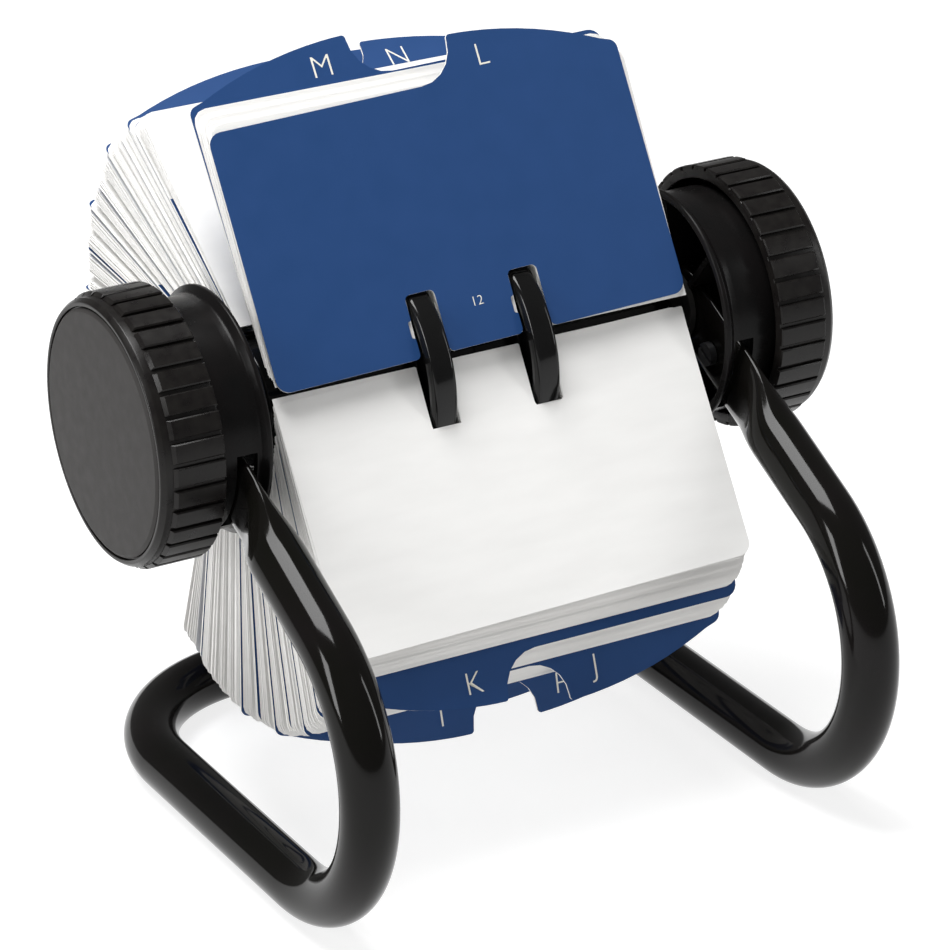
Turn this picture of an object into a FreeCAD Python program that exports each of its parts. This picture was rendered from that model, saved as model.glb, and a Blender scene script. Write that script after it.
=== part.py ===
"""Open rotary card file: bent tube stand, card wheel, 24 index guides and their cards.

Millimetres. +X runs right along the axle, +Y back, +Z up. The origin is on the desk,
in the middle of the footprint, seen from the front where the two open leaves face.
Angles in the wheel are measured about the axle from the front (-Y) up over the top.
"""
import FreeCAD, Part
import os
from math import sin, cos, radians, pi

Vec = FreeCAD.Vector

# ---- driving dimensions -------------------------------------------------------------
AXLE_Y = -2.74           # the axle sits just ahead of the middle of the footprint
AXLE_Z = 100.6           # axle above the desk
AXLE_R = 3.0

TUBE_R = 6.35            # half-inch steel tube
TUBE_WALL = 1.2
TUBE_X = 61.8            # the two side frames stand at +-TUBE_X
SLANT = 26.3             # the arms leave the axle this far below level
FRONT_BEND_R = 34.6
REAR_BEND_R = 36.0
REAR_Y = 58.5            # cross tube behind the axle
TONGUE_HALF_W = 9.0      # flattened end of the tube
TONGUE_HALF_T = 1.8
ROUND_FROM = 44.0        # the tube is fully round beyond this distance from the axle
FLAT_TO = 28.0

HUB_R = 25.5
HUB_LIP_R = 27.3
HUB_OUTER = 73.5
BOSS_FROM = 63.8
POST_DIST = 16.0         # screw post that holds the flattened tube end

KNOB_R = 30.2
KNOB_IN = 68.6
KNOB_BAND_END = 80.6     # the pads stop here and the rim starts
KNOB_FACE = 83.5
PADS = 36
GROOVE_W = 1.0
GROOVE_D = 0.8

CORE_R = 14.5
CORE_END = 50.5
RAIL_X = 12.75           # two rails, one inch apart
RAIL_R = 24.0

CARD_W = 101.6           # 4 in
CARD_H = 57.15           # 2 1/4 in
CORNER = 3.0
SLOT_HALF = 3.6
SLOT_DEPTH = 14.0
NOTCH_FROM = 4.6
NOTCH_TO = 8.4
NOTCH_W = 1.3
TAB_H = 9.95
TAB_START = 10.2         # the tab begins this far past the middle of the card
CROWN_R = 97.0
CROWN_X = 8.0
GUIDE_T = 0.5
CARD_T = 0.3
PACK_GAP = 0.4

# Leaves in order from the open page, over the top, round the back and up to the front.
# Each line: name, where its inner edge sits (angle, radius) and which way it points.
LEAVES = [
    ("l", 27.5, 21.0, 118.5), ("m", 45.3, 18.8, 122.8), ("n", 93.8, 18.0, 147),
    ("o", 99.5, 18.1, 148.3), ("p", 112, 18.1, 150.3), ("q", 132, 18.4, 154.2),
    ("r", 144, 19.9, 162), ("s", 153, 21.1, 167.5), ("t", 166, 22, 174.5),
    ("u", 177, 22, 181), ("v", 185, 22.1, 189), ("w", 192.5, 22.2, 196.5),
    ("xyz", 199, 22.3, 204), ("a", 205.5, 22.4, 211), ("b", 212, 22.4, 218),
    ("c", 218, 22.4, 225), ("d", 231, 22.4, 258), ("e", 264, 20, 266.6),
    ("f", 274, 19, 271.8), ("g", 283.5, 18.3, 277.3), ("h", 295, 17.4, 281.9),
    ("i", 310, 17.2, 285), ("j", 331.6, 17.2, 288), ("k", 354, 17.3, 294),
    ("front", 381, 17.7, 300.5),
]
PLACES = {name: tuple(place) for name, *place in LEAVES}
ASKEW = {"l": 1.5, "m": 0.8, "front": -0.9}   # loose in their slots, these lean a little
AIR_AFTER = {"m": 0.8, "c": 0.65}             # the fan stands open for this part of the way
SHORT_BY = {"k": 1.5}                         # these cards have slid in and show the guide
LEFT_TABS = ("a", "c", "e", "g", "i", "k", "m", "o", "q", "s", "u", "w")


# ---- small helpers ------------------------------------------------------------------
def save(node, shape):
    shape = shape.removeSplitter() if len(shape.Solids) == 1 else shape
    shape.translate(Vec(0, AXLE_Y, AXLE_Z))
    shape.exportStep("parts/%s.step" % node)


def mirrored(shape):
    return shape.mirror(Vec(0, 0, 0), Vec(1, 0, 0))


def save_pair(node, shape):
    """The right-hand piece and its mirror image on the left."""
    left = mirrored(shape)
    save(node + "_right", shape)
    save(node + "_left", left)


def way(angle):
    """Unit vector in the wheel's plane: 0 is the front, 90 is up, 180 is the back."""
    a = radians(angle)
    return Vec(0, -cos(a), sin(a))


def revolve(points):
    """Solid of revolution about the axle from (x, radius) points."""
    ring = [Vec(x, 0, r) for x, r in points]
    face = Part.Face(Part.makePolygon(ring + ring[:1]))
    return face.revolve(Vec(0, 0, 0), Vec(1, 0, 0), 360)


def tube(r_out, r_in, x0, x1):
    return revolve([(x0, r_in), (x0, r_out), (x1, r_out), (x1, r_in)])


def disc(radius, x0, x1, y=0.0, z=0.0):
    return Part.makeCylinder(radius, x1 - x0, Vec(x0, y, z), Vec(1, 0, 0))


def bar(x0, x1, half, near, far, angle):
    """Straight bar that points along way(angle), from near to far off the axle."""
    block = Part.makeBox(x1 - x0, far - near, 2 * half, Vec(x0, -far, -half))
    block.rotate(Vec(0, 0, 0), Vec(1, 0, 0), -angle)
    return block


def rounded_face(corners):
    """Flat face in XY from (x, y, corner radius) given in order."""
    edges = []
    ends = []
    for i, (x, y, r) in enumerate(corners):
        here = Vec(x, y, 0)
        before = Vec(corners[i - 1][0], corners[i - 1][1], 0)
        nxt = corners[(i + 1) % len(corners)]
        after = Vec(nxt[0], nxt[1], 0)
        u = (before - here).normalize()
        v = (after - here).normalize()
        if r <= 0:
            ends.append((here, here))
            continue
        half = u.getAngle(v) / 2
        reach = r * cos(half) / sin(half)
        centre = here + (u + v).normalize() * (r / sin(half))
        middle = centre + (here - centre).normalize() * r
        start, stop = here + u * reach, here + v * reach
        edges.append(Part.Arc(start, middle, stop).toShape())
        ends.append((start, stop))
    for i, (start, stop) in enumerate(ends):
        before = ends[i - 1][1]
        if before.distanceToPoint(start) > 1e-6:
            edges.append(Part.makeLine(before, start))
    return Part.Face(Part.Wire(Part.__sortEdges__(edges)))


# ---- stand --------------------------------------------------------------------------
def arm_section(distance, half_w, half_t, power):
    """Rounded section of the flattened tube, square to the slanting arm."""
    along = way(-SLANT)
    across = way(90 - SLANT)
    points = []
    for i in range(24):
        a = 2 * pi * i / 24
        c, s = cos(a), sin(a)
        u = half_w * (abs(c) ** (2 / power)) * (1 if c >= 0 else -1)
        t = half_t * (abs(s) ** (2 / power)) * (1 if s >= 0 else -1)
        points.append(along * distance + across * u + Vec(TUBE_X + t, 0, 0))
    curve = Part.BSplineCurve()
    curve.interpolate(points, PeriodicFlag=True)
    return Part.Wire(curve.toShape())


def straight(a, b, radius):
    return Part.makeCylinder(radius, (b - a).Length, a, b - a)


def bend(start, heading, centre, axis, angle, radius):
    ring = Part.Face(Part.Wire(Part.makeCircle(radius, start, heading)))
    return ring.revolve(centre, axis, angle)


def half_tube(radius):
    """Right half of the stand's round tube: arm, front bend, side run and rear run."""
    floor = TUBE_R - AXLE_Z
    out = Vec(TUBE_X, 0, 0)
    along = way(-SLANT)
    reach = (AXLE_Z - TUBE_R - FRONT_BEND_R * (1 + cos(radians(SLANT)))) / sin(radians(SLANT))
    top = along * ROUND_FROM + out
    bend_from = along * reach + out
    bend_centre = bend_from - way(90 - SLANT) * FRONT_BEND_R
    bend_to = Vec(TUBE_X, bend_centre.y, floor)
    rear_from = Vec(TUBE_X, REAR_Y - REAR_BEND_R, floor)
    rear_centre = rear_from - Vec(REAR_BEND_R, 0, 0)
    rear_to = rear_centre + Vec(0, REAR_BEND_R, 0)
    runs = [
        straight(top, bend_from, radius),
        bend(bend_from, along, bend_centre, Vec(1, 0, 0), 180 - SLANT, radius),
        straight(bend_to, rear_from, radius),
        bend(rear_from, Vec(0, 1, 0), rear_centre, Vec(0, 0, 1), 90, radius),
        straight(rear_to, Vec(0, REAR_Y, floor), radius),
    ]
    return runs[0].fuse(runs[1:])


def make_stand():
    half = half_tube(TUBE_R).cut(half_tube(TUBE_R - TUBE_WALL))
    round_r = TUBE_R - 0.06
    steps = [(FLAT_TO, TONGUE_HALF_W, TONGUE_HALF_T, 5), (33, 8.7, 2.6, 3.4),
             (38.5, 7.3, 5.0, 2.3), (ROUND_FROM - 0.6, round_r, round_r, 2),
             (ROUND_FROM + 0.6, round_r, round_r, 2)]
    neck = Part.makeLoft([arm_section(*step) for step in steps], True, False)
    flat_t = TONGUE_HALF_T - 0.06
    flat = bar(TUBE_X - flat_t, TUBE_X + flat_t, TONGUE_HALF_W - 0.2, 0, FLAT_TO + 0.4, -SLANT)
    end = disc(TONGUE_HALF_W - 0.2, TUBE_X - flat_t, TUBE_X + flat_t)
    hole = disc(5.1, 50, 70)
    pin = way(-SLANT) * POST_DIST
    screw_hole = disc(1.7, 50, 70, pin.y, pin.z)
    arm = neck.fuse([flat, end]).cut(hole).cut(screw_hole)
    save("frame_tube", half.fuse([mirrored(half), arm, mirrored(arm)]))


# ---- hubs, bushes and axle ----------------------------------------------------------
def make_hubs():
    shell = revolve([
        (56.0, 26.4), (56.3, 27.0), (57.0, HUB_LIP_R), (57.6, 27.1), (58.2, 26.3), (58.8, 25.7),
        (60.0, HUB_R), (HUB_OUTER - 0.6, HUB_R), (HUB_OUTER, HUB_R - 0.6), (HUB_OUTER, 5.02),
        (BOSS_FROM, 5.02), (BOSS_FROM, 8.5), (71.5, 8.5), (71.5, 23.5), (60.0, 23.5),
        (57.6, 24.6), (56.2, 25.6)])
    ribs = []
    for turn in (75, 128, 180, 232, 285):
        angle = turn - SLANT
        ribs.append(bar(BOSS_FROM + 0.2, 71.7, 0.8, 8.2, 24.0, angle))
        ribs.append(bar(58.4, BOSS_FROM + 0.4, 0.8, 10.8, 24.0, angle))
    pin = way(-SLANT) * POST_DIST
    post = disc(4.0, BOSS_FROM, 71.8, pin.y, pin.z)
    window = bar(TUBE_X - 2.6, TUBE_X + 2.2, 11.0, 18.0, 30.0, -SLANT)
    bore = disc(1.6, BOSS_FROM - 1, 71.0, pin.y, pin.z)
    save_pair("hub", shell.fuse(ribs + [post]).cut(window).cut(bore))

    bush = revolve([(58.3, 3.05), (58.3, 8.2), (59.7, 8.2), (59.7, 5.0), (73.3, 5.0), (73.3, 3.05)])
    save_pair("bush", bush)

    head = disc(2.7, 58.2, 59.8, pin.y, pin.z).cut(bar(58.0, 58.8, 0.4, 12, 20, -SLANT))
    screw = head.fuse(disc(1.5, 59.6, 70.0, pin.y, pin.z))
    save("frame_screws", Part.makeCompound([screw, mirrored(screw)]))


def make_axle():
    rod = disc(AXLE_R, -79.0, 79.0)
    for side in (-1, 1):
        drill = disc(1.35, 66.0, 80.0)
        rod = rod.cut(drill if side > 0 else mirrored(drill))
    save("axle", rod)
    save_pair("spacer", tube(6.0, 3.04, CORE_END + 0.2, 58.0))


# ---- core with its rails ------------------------------------------------------------
def make_core():
    x = RAIL_X
    half = revolve([
        (0.05, 12.5), (0.05, CORE_R), (x - 1.5, CORE_R), (x - 1.5, 20.6), (x - 2.7, 21.0),
        (x - 3.0, 21.5), (x - 3.0, 22.3), (x - 2.6, 23.6), (x - 2.1, RAIL_R), (x + 2.1, RAIL_R),
        (x + 2.6, 23.6), (x + 3.0, 22.3), (x + 3.0, 21.5), (x + 2.7, 21.0), (x + 1.5, 20.6),
        (x + 1.5, CORE_R), (CORE_END - 0.6, CORE_R), (CORE_END, CORE_R - 0.6),
        (CORE_END, 3.04), (0.05, 3.04), (0.05, 5.5), (48.0, 5.5), (48.0, 12.5)])
    save_pair("core", half)


# ---- knobs --------------------------------------------------------------------------
def make_knobs():
    body = revolve([
        (KNOB_IN, 27.3), (KNOB_IN, 29.9), (KNOB_IN + 0.3, KNOB_R), (KNOB_BAND_END, KNOB_R),
        (KNOB_BAND_END, KNOB_R - GROOVE_D), (82.2, 29.2), (82.9, 28.7), (83.2, 28.1),
        (83.1, 27.6), (82.2, 27.5),
        (82.2, 3.3), (80.2, 3.3), (80.2, 1.6), (79.1, 1.6), (79.1, 3.04),
        (75.2, 3.04), (75.2, 7.0), (79.5, 7.0), (79.5, 25.6), (78.0, 27.3)])
    grooves = []
    for i in range(PADS):
        grooves.append(bar(KNOB_IN - 1, KNOB_BAND_END + 0.1, GROOVE_W / 2,
                           KNOB_R - GROOVE_D, KNOB_R + 2, (i + 0.5) * 360 / PADS))
    save_pair("knob", body.cut(Part.makeCompound(grooves)))

    face = revolve([(82.3, 0), (82.3, 27.2), (82.9, 27.2), (83.4, 26.7),
                    (KNOB_FACE, 26.2), (KNOB_FACE, 0)])
    save_pair("knob_face", face)

    screw = disc(2.9, 80.3, 82.0).cut(bar(81.4, 83, 0.4, -4, 4, 90))
    screw = screw.fuse(disc(1.3, 67.0, 80.5))
    save("knob_screws", Part.makeCompound([screw, mirrored(screw)]))


def make_clutch():
    """Ball clutch between the right hub and the right knob; it holds the wheel where it is left."""
    centre_x, ring_r, ball_r = 75.5, 15.0, 1.6
    cage = tube(18.5, 11.0, 74.9, 76.1)
    balls = []
    for i in range(8):
        spot = way(i * 45 + 10) * ring_r
        cage = cage.cut(disc(ball_r + 0.08, 74, 77, spot.y, spot.z))
        balls.append(Part.makeSphere(ball_r, Vec(centre_x, spot.y, spot.z)))
    save("clutch_cage", cage)
    save("clutch_balls", Part.makeCompound(balls))
    save("clutch_plate", tube(19.5, 7.1, 77.5, 78.5))
    save("clutch_spring", revolve([(78.55, 9), (78.85, 9), (79.45, 17), (79.15, 17)]))


# ---- leaves -------------------------------------------------------------------------
def slot_face(centre):
    """Slot that hooks a leaf on a rail, open at the inner edge."""
    a = SLOT_HALF
    n = a + NOTCH_W
    corners = [(-a - 3, -1, 0), (a + 3, -1, 0), (a + 3, 0, 0), (a, 0, 2.0),
               (a, SLOT_DEPTH, 1.2), (-a, SLOT_DEPTH, 1.2), (-a, NOTCH_TO, 0.5),
               (-n, NOTCH_TO, 0.5), (-n, NOTCH_FROM, 0.5), (-a, NOTCH_FROM, 0.5),
               (-a, 0, 2.0), (-a - 3, 0, 0)]
    return rounded_face([(x + centre, y, r) for x, y, r in corners])


def leaf_plate(thickness, tab_side):
    """Card or guide lying in XY: inner edge at y=0, thickness centred on z=0."""
    h = CARD_W / 2
    face = rounded_face([(-h, 0, CORNER), (h, 0, CORNER), (h, CARD_H, CORNER), (-h, CARD_H, CORNER)])
    plate = face.extrude(Vec(0, 0, thickness))
    if tab_side:
        top = CARD_H + TAB_H
        s = TAB_START
        slope = (h - CROWN_X) / (CARD_H - top + CROWN_R)
        tab = rounded_face([(s, 40, 0), (h, 40, 0), (h, CARD_H, 2.4),
                            (h - TAB_H / slope, top, 0), (s, top, 1.8)])
        crown = Part.makeCylinder(CROWN_R, thickness, Vec(CROWN_X, top - CROWN_R, 0))
        tab = tab.extrude(Vec(0, 0, thickness)).common(crown)
        foot = rounded_face([(s - 10, CARD_H - 5, 0), (s + 1, CARD_H - 5, 0),
                             (s + 1, CARD_H + 9.2, 0), (s, CARD_H + 9.2, 0),
                             (s, CARD_H, 9.0), (s - 10, CARD_H, 0)])
        plate = plate.fuse([tab, foot.extrude(Vec(0, 0, thickness))])
        if tab_side < 0:
            plate = plate.mirror(Vec(0, 0, 0), Vec(1, 0, 0))
    for centre in (-RAIL_X, RAIL_X):
        plate = plate.cut(slot_face(centre).extrude(Vec(0, 0, thickness)))
    plate.translate(Vec(0, 0, -thickness / 2))
    return plate.removeSplitter()


def stand_leaf(plate, place, askew=0.0):
    """Swing a flat leaf into its place on the wheel."""
    angle, radius, heading = place
    plate.rotate(Vec(0, 6, 0), Vec(0, 0, 1), askew)
    plate.rotate(Vec(0, 0, 0), Vec(1, 0, 0), 180 - heading)
    plate.translate(way(angle) * radius)
    return plate


def leaf_line(place, offset, along):
    """Point on a leaf's plane: so far along it, and offset towards the next leaf."""
    angle, radius, heading = place
    return way(angle) * radius + way(heading) * along + way(heading + 90) * offset


def between(a, b, t):
    return tuple(p + (q - p) * t for p, q in zip(a, b))


def pack_profile(name, far, low, high):
    """Closed outline of the cards between a guide and the next one, from low to high."""
    near = PLACES[name]
    first = PACK_GAP + (0.3 if name == "l" else 0.0)
    begin = AIR_AFTER.get(name, 0.0)
    short = SHORT_BY.get(name, 0.0)
    count = max(2, int((far[0] - near[0]) / 8))
    inner, outer = [], []
    for i in range(count + 1):
        t = begin + (1 - begin) * i / count
        offset = first * (1 - t) - PACK_GAP * t
        place = between(near, far, t)
        inner.append(leaf_line(place, offset, low))
        outer.append(leaf_line(place, offset, high - short * (1 - t)))
    return Part.Face(Part.makePolygon(inner + outer[::-1] + inner[:1]))


def card_pack(name, far):
    face = pack_profile(name, far, 0.0, CARD_H)
    face.translate(Vec(-CARD_W / 2, 0, 0))
    pack = face.extrude(Vec(CARD_W, 0, 0))
    slot = pack_profile(name, far, -0.01, SLOT_DEPTH)
    for centre in (-RAIL_X, RAIL_X):
        tool = slot.copy()
        tool.translate(Vec(centre - SLOT_HALF, 0, 0))
        pack = pack.cut(tool.extrude(Vec(2 * SLOT_HALF, 0, 0)))
    return pack


def make_leaves():
    order = list(PLACES)
    for name in order[:-1]:
        side = -1 if name in LEFT_TABS else 1
        guide = leaf_plate(GUIDE_T, side)
        save("guide_" + name, stand_leaf(guide, PLACES[name], ASKEW.get(name, 0.0)))
    save("front_card", stand_leaf(leaf_plate(CARD_T, 0), PLACES["front"], ASKEW["front"]))
    packs = [card_pack(name, PLACES[order[i + 1]]) for i, name in enumerate(order[:-1])]
    for i in range(0, 24, 2):
        node = "cards_%s_%s" % (order[i], order[i + 1])
        save(node, Part.makeCompound(packs[i:i + 2]))


os.makedirs("parts", exist_ok=True)
make_stand()
make_hubs()
make_axle()
make_core()
make_knobs()
make_clutch()
make_leaves()
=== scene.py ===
# %% [markdown]
# # A rotary card file, piece by piece
# This lesson builds the finished look of an open rotary card file: a bent tube stand, two hubs,
# two ribbed knobs, a core with two rails, and a wheel of cards with blue index guides.
# The engineering parts come in ready made and stay where they are. Each look piece is built over
# the part it stands for, takes its sizes from that part, and rides on the same moving body.

# %% Start: bring in the engineering parts
import math
import bmesh
import bpy
import numpy as np
from mathutils import Matrix, Vector


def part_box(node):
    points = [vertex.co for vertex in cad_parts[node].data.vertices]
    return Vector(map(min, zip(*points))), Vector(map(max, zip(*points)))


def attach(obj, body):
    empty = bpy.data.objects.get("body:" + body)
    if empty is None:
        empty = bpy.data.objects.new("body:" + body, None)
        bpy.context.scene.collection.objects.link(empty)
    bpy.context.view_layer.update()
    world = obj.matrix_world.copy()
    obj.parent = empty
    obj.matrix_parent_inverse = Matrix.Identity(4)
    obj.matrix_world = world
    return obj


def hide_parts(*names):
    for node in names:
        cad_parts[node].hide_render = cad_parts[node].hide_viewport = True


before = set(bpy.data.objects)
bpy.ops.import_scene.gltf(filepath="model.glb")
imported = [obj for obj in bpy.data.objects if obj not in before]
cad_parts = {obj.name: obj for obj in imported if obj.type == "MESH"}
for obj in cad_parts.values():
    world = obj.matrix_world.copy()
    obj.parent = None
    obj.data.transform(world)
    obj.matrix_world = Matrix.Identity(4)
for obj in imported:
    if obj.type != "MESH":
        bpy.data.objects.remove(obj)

for name in ("Cube", "Light", "Camera"):
    if name in bpy.data.objects:
        bpy.data.objects.remove(bpy.data.objects[name])
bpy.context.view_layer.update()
MM = 0.001

# %% [markdown]
# ## Where the wheel is
# Nearly everything here turns about the axle, so its middle is the point that all the other
# pieces are measured from. An angle of 0 points to the front, 90 points up and 180 points back.

# %% The axle's middle and a compass for the wheel
axle_low, axle_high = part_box("axle")
AXLE = Vector((0, (axle_low.y + axle_high.y) / 2, (axle_low.z + axle_high.z) / 2))


def way(angle):
    a = math.radians(angle)
    return Vector((0, -math.cos(a), math.sin(a)))


print("axle middle in mm:", [round(v / MM, 2) for v in AXLE])

# %% [markdown]
# ## Small tools for meshes
# Every solid below is a list of corners and faces. `make_mesh` turns them into an object, `soften`
# shades it smoothly but keeps real corners crisp, and `tidy` mends what spinning and cutting leave.

# %% Make a mesh, soften it, tidy it
CRISP = 32


def link(thing):
    bpy.context.scene.collection.objects.link(thing)
    return thing


def baked(thing):
    """The plain mesh of an object with its modifiers worked out."""
    bpy.context.view_layer.update()
    return bpy.data.meshes.new_from_object(
        thing.evaluated_get(bpy.context.evaluated_depsgraph_get()))


def join(pieces):
    with bpy.context.temp_override(active_object=pieces[0], selected_editable_objects=pieces):
        bpy.ops.object.join()
    return pieces[0]


def make_mesh(name, corners, faces, material=None):
    mesh = bpy.data.meshes.new(name)
    mesh.from_pydata([tuple(c) for c in corners], [], faces)
    mesh.update()
    piece = link(bpy.data.objects.new(name, mesh))
    if material:
        mesh.materials.append(material)
    return piece


def soften(piece, angle=CRISP):
    piece.data.shade_smooth()
    piece.data.set_sharp_from_angle(angle=math.radians(angle))
    return piece


def tidy(piece):
    """Merge doubled corners, then turn every face outwards."""
    work = bmesh.new()
    work.from_mesh(piece.data)
    bmesh.ops.remove_doubles(work, verts=work.verts, dist=1e-7)
    bmesh.ops.recalc_face_normals(work, faces=work.faces)
    work.to_mesh(piece.data)
    work.free()
    return piece


print("an edge that turns by more than", CRISP, "degrees stays crisp")

# %% [markdown]
# Moulded and turned parts have no truly sharp corners. An outline is written down as corner points
# with a radius for each, and `rounded` swaps every corner for a short arc. A corner with a radius
# of 0 is left alone.

# %% Round the corners of an outline
def rounded(points, steps=5):
    """Closed outline from (x, y, corner radius); each corner becomes a short arc."""
    out = []
    for i, (x, y, r) in enumerate(points):
        here = Vector((x, y))
        before = Vector(points[i - 1][:2])
        after = Vector(points[(i + 1) % len(points)][:2])
        if r <= 0:
            out.append(here)
            continue
        u, v = (before - here).normalized(), (after - here).normalized()
        half = u.angle(v) / 2
        start, stop = here + u * (r / math.tan(half)), here + v * (r / math.tan(half))
        centre = here + (u + v).normalized() * (r / math.sin(half))
        a0 = math.atan2(start.y - centre.y, start.x - centre.x)
        a1 = math.atan2(stop.y - centre.y, stop.x - centre.x)
        turn = (a1 - a0 + math.pi) % (2 * math.pi) - math.pi
        for k in range(steps + 1):
            a = a0 + turn * k / steps
            out.append(centre + Vector((math.cos(a), math.sin(a))) * r)
    return out


print("one rounded corner has", len(rounded([(0, 0, 0), (9, 0, 2), (9, 9, 0)])) - 2, "points")

# %% [markdown]
# A turned part is an outline spun about the axle. `side` is 1 on the right and -1 for its mirror
# image on the left, so one outline makes both.

# %% Spin an outline about the axle
def lathe(name, outline, material, around=144, side=1):
    """Spin a closed outline of (along the axle, radius) points in mm."""
    corners, faces = [], []
    n = len(outline)
    for k in range(around):
        direction = way(360 * k / around)
        for x, r in outline:
            corners.append(AXLE + direction * r * MM + Vector((side * x * MM, 0, 0)))
    for k in range(around):
        a, b = k * n, ((k + 1) % around) * n
        for i in range(n):
            j = (i + 1) % n
            faces.append((a + i, a + j, b + j, b + i))
    return soften(tidy(make_mesh(name, corners, faces, material)))


print("a turned part has a row of corners every", 360 / 144, "degrees")

# %% [markdown]
# ## Small tools for node trees
# Geometry Nodes do the work wherever a shape repeats or follows a path. A tree is written down as a
# list of nodes and links with named inputs. `put` adds a node and links it in the same breath, and
# `calc` and `vector` are short ways to write a sum.

# %% Write a tree
def new_tree(name, inputs):
    tree = bpy.data.node_groups.new(name, "GeometryNodeTree")
    tree.interface.new_socket(name="Geometry", in_out="INPUT", socket_type="NodeSocketGeometry")
    for label, kind, value in inputs:
        socket = tree.interface.new_socket(name=label, in_out="INPUT", socket_type=kind)
        if value is not None:
            socket.default_value = value
    tree.interface.new_socket(name="Geometry", in_out="OUTPUT", socket_type="NodeSocketGeometry")
    return tree, tree.nodes.new("NodeGroupInput"), tree.nodes.new("NodeGroupOutput")


def put(tree, kind, settings=None, **sockets):
    """Add a node. A socket given as (node, output) is linked; any other value is typed in."""
    made = tree.nodes.new(kind)
    for key, value in (settings or {}).items():
        setattr(made, key, value)
    for key, value in sockets.items():
        wire(tree, made, key.replace("_", " "), value)
    return made


def wire(tree, made, key, value):
    socket = made.inputs[int(key[1:])] if key[:1] == "n" and key[1:].isdigit() else made.inputs[key]
    if isinstance(value, tuple) and len(value) == 2 and isinstance(value[0], bpy.types.Node):
        tree.links.new(value[0].outputs[value[1]], socket)
    elif isinstance(value, bpy.types.Node):
        tree.links.new(value.outputs[0], socket)
    else:
        socket.default_value = value


def calc(tree, operation, *values):
    """A Math node: each value is a number, a node, or (node, output)."""
    return put(tree, "ShaderNodeMath", {"operation": operation},
               **{"n%d" % i: v for i, v in enumerate(values)})


def vector(tree, operation, first, second):
    return put(tree, "ShaderNodeVectorMath", {"operation": operation}, n0=first, n1=second)


print("tree tools: new_tree, put, wire, calc, vector")

# %% [markdown]
# `grow` runs a tree once and keeps the plain mesh it makes. `finish_piece` is the last step for
# every piece: it hangs the piece on the moving body it rides on and hides the engineering parts
# it stands for.

# %% Run a tree, and hand a piece over
def grow(name, base, tree, values):
    """Run a tree on a base mesh and keep what it makes as a plain mesh object."""
    modifier = base.modifiers.new("grow", "NODES")
    modifier.node_group = tree
    for item in tree.interface.items_tree:
        if item.item_type == "SOCKET" and item.in_out == "INPUT" and item.name in values:
            modifier[item.identifier] = values[item.name]
    mesh = baked(base)
    mesh.name = name
    piece = link(bpy.data.objects.new(name, mesh))
    bpy.data.objects.remove(base)
    return piece


def finish_piece(piece, body, slot, *stands_for):
    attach(piece, body)
    if stands_for:
        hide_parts(*stands_for)
    print(piece.name, "rides on", body, "with", len(piece.data.polygons), "faces")
    return piece


# %% [markdown]
# ## Surfaces
# A surface that is one even colour looks like a toy. Each of these has something for the light to
# catch: a slight waviness in paint, a fine grain in moulded plastic, fibres in card.
# `surface` makes a material whose colour, roughness and bumps all come from noise at a given size.

# %% One recipe for a natural surface
BROAD = 14  # the colour drifts over patches this many times the grain


def surface(name, dark, light, rough, grain, depth, stretch=(1, 1, 1), **fixed):
    """dark, light: colours the noise runs between. grain: noise size, depth: bump, both in mm."""
    made = bpy.data.materials.new(name)
    made.use_nodes = True
    tree = made.node_tree
    shader = tree.nodes["Principled BSDF"]
    place = put(tree, "ShaderNodeTexCoord")
    spread = put(tree, "ShaderNodeMapping", Vector=(place, "Object"), Scale=stretch)
    fine = put(tree, "ShaderNodeTexNoise", Vector=spread, Scale=1 / (grain * MM), Detail=3.0)
    broad = put(tree, "ShaderNodeTexNoise", Vector=spread, Scale=1 / (grain * BROAD * MM),
                Detail=4.0)
    tint = put(tree, "ShaderNodeValToRGB", Fac=(broad, "Fac"))
    tint.color_ramp.elements[0].position, tint.color_ramp.elements[1].position = 0.3, 0.7
    tint.color_ramp.elements[0].color = (*dark, 1)
    tint.color_ramp.elements[1].color = (*light, 1)
    shine = put(tree, "ShaderNodeMapRange", Value=(broad, "Fac"))
    shine.inputs["From Min"].default_value, shine.inputs["From Max"].default_value = 0.3, 0.7
    shine.inputs["To Min"].default_value, shine.inputs["To Max"].default_value = rough
    relief = put(tree, "ShaderNodeBump", Height=(fine, "Fac"), Distance=depth * MM, Strength=1.0)
    tree.links.new(tint.outputs["Color"], shader.inputs["Base Color"])
    tree.links.new(shine.outputs["Result"], shader.inputs["Roughness"])
    tree.links.new(relief.outputs["Normal"], shader.inputs["Normal"])
    for key, value in fixed.items():
        shader.inputs[key.replace("_", " ")].default_value = value
    return made


print("colour patches are", BROAD, "times as large as the bumps")

# %% [markdown]
# The black parts differ mostly in how they shine. Paint on steel is glossiest, the cards polish the
# rails, the hubs and knobs are plain moulded plastic, and the discs in the knobs' faces are matt.

# %% Finishes for the black parts
stand_paint = surface("stand paint", (0.004, 0.004, 0.003), (0.006, 0.005, 0.005), (0.07, 0.12),
                      1.4, 0.002, Specular_IOR_Level=0.18)
hub_plastic = surface("hub plastic", (0.005, 0.005, 0.005), (0.007, 0.006, 0.006), (0.24, 0.32),
                      0.7, 0.005, Specular_IOR_Level=0.10)
rail_plastic = surface("rail plastic", (0.004, 0.004, 0.004), (0.006, 0.006, 0.006), (0.08, 0.14),
                       0.9, 0.003, Specular_IOR_Level=0.28)
knob_plastic = surface("knob plastic", (0.006, 0.005, 0.005), (0.010, 0.009, 0.008), (0.26, 0.34),
                       0.18, 0.010, Specular_IOR_Level=0.22)
face_plastic = surface("knob face plastic", (0.021, 0.019, 0.018), (0.026, 0.024, 0.023),
                       (0.55, 0.65), 0.22, 0.020, Specular_IOR_Level=0.30)
print("black finishes:", len(bpy.data.materials))

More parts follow.
